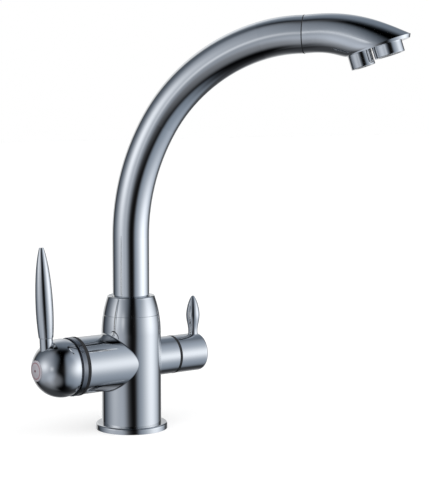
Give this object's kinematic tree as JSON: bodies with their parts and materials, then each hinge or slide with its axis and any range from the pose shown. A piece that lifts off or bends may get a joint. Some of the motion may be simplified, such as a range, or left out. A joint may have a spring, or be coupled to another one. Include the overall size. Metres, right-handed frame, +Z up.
{
  "type": "kitchen tap",
  "caption": "Swivel-spout kitchen tap: ball-lever mixer for hot and cold on one arm, quarter-turn filtered-water valve on the other, separate outlets in the spout head.",
  "frame": {"origin": "centre of the underside of the body, on the sink deck", "axes": "+Z up along the column; +X along the arms towards the filter valve; the user stands at -Y"},
  "size_m": [0.224, 0.1913, 0.313],
  "materials": {
    "chrome": "polished chrome plate on brass",
    "index_disc": "gloss, pale",
    "rubber": "matt black rubber",
    "brass": "turned brass",
    "steel": "turned stainless steel",
    "cartridge_plastic": "moulded, off white",
    "glide_plastic": "white low friction plastic",
    "ceramic": "lapped ceramic, white",
    "hose_plastic": "food grade plastic hose, pale",
    "insert_plastic": "moulded, light grey"
  },
  "bodies": {
    "tap_body": {"body_casting": "chrome", "base_ring": "chrome", "base_seal": "rubber", "swivel_collar": "chrome", "lower_glide_ring": "glide_plastic", "upper_glide_ring": "glide_plastic", "filter_spigot": "brass", "spigot_seal": "rubber", "trim_ring": "chrome", "cartridge_nut": "brass", "inner_dome": "chrome", "cartridge_housing": "cartridge_plastic", "cartridge_plug": "cartridge_plastic", "port_seals": "rubber", "mixer_fixed_disc": "ceramic", "valve_body": "brass", "valve_seat_seal": "rubber", "valve_washer": "glide_plastic", "valve_fixed_disc": "ceramic"},
    "spout": {"spout_tube": "chrome", "spout_shank": "brass", "shank_seals": "rubber", "filter_tube": "hose_plastic", "head_connector": "brass", "head_seal": "rubber", "outlet_head": "chrome", "aerator_housing": "chrome", "aerator_washer": "rubber", "aerator_insert": "insert_plastic", "filter_nozzle": "chrome", "nozzle_washer": "rubber", "nozzle_insert": "insert_plastic"},
    "mixer_carrier": {"stem_carrier": "cartridge_plastic", "pivot_pin": "steel"},
    "mixer_handle": {"lever_stem": "steel", "handle_ball": "chrome", "handle_screw": "steel", "index_button": "index_disc", "lever_neck": "chrome", "lever_blade": "chrome"},
    "mixer_disc": {"disc_slider": "cartridge_plastic", "mixer_moving_disc": "ceramic"},
    "filter_handle": {"filter_knob": "chrome", "filter_lever": "chrome", "knob_grub_screw": "steel", "valve_spindle": "brass", "valve_moving_disc": "ceramic"}
  },
  "joints": [
    {"name": "spout_swivel", "type": "hinge", "parent": "tap_body", "child": "spout", "pos_m": [0, 0, 0.09], "axis": [0, 0, 1], "continuous": true},
    {"name": "mixer_temperature", "type": "hinge", "parent": "tap_body", "child": "mixer_carrier", "pos_m": [-0.0623, 0, 0.0528], "axis": [1, 0, 0], "range_deg": [-50, 50]},
    {"name": "mixer_flow", "type": "hinge", "parent": "mixer_carrier", "child": "mixer_handle", "pos_m": [-0.0623, 0, 0.0528], "axis": [0, -1, 0], "range_deg": [0, 22]},
    {"name": "disc_slide", "type": "slide", "parent": "mixer_carrier", "child": "mixer_disc", "axis": [0, 0, 1], "range_m": [0, 0.00366]},
    {"name": "filter_turn", "type": "hinge", "parent": "tap_body", "child": "filter_handle", "pos_m": [0.05, 0, 0.0528], "axis": [1, 0, 0], "range_deg": [0, 90]}
  ],
  "couplings": [
    {"joint": "disc_slide", "follows": "mixer_flow", "m_per_rad": 0.0095}
  ]
}
